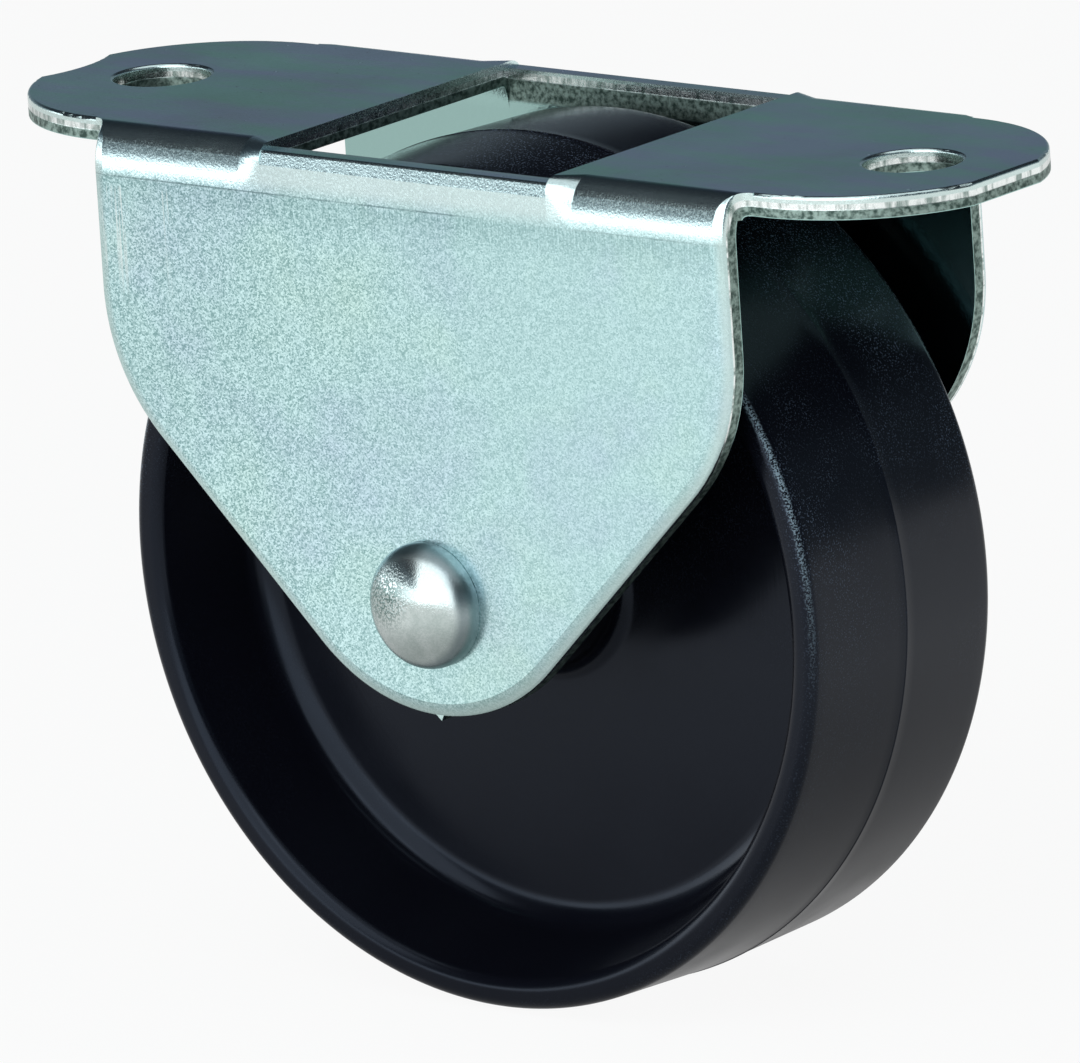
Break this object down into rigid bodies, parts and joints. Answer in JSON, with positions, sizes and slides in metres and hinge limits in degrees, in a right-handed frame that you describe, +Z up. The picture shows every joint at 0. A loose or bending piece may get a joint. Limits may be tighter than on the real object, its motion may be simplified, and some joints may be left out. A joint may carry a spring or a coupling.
{
  "type": "fixed castor",
  "caption": "Fixed castor with a folded steel fork and plate, a riveted axle and a moulded plastic wheel, for furniture that rolls straight.",
  "frame": {"origin": "midway between the two fixing holes, on the plate's top face", "axes": "+X along the plate through both fixing holes, +Y along the axle, +Z up, away from the wheel and towards what the plate is fixed to"},
  "size_m": [0.1018, 0.0421, 0.0762],
  "materials": {
    "zinc_plated_steel": "blue passivated zinc plate, satin",
    "black_plastic": "moulded, satin gloss",
    "sleeve_steel": "drawn tube, bare",
    "rivet_steel": "bright zinc plate, closed head peened"
  },
  "bodies": {
    "fork": {"fork_housing": "zinc_plated_steel", "axle_sleeve": "sleeve_steel", "axle_rivet": "rivet_steel"},
    "wheel": {"wheel": "black_plastic"}
  },
  "joints": [
    {"name": "wheel_spin", "type": "hinge", "parent": "fork", "child": "wheel", "pos_m": [0, 0, -0.0387], "axis": [0, 1, 0], "continuous": true}
  ]
}
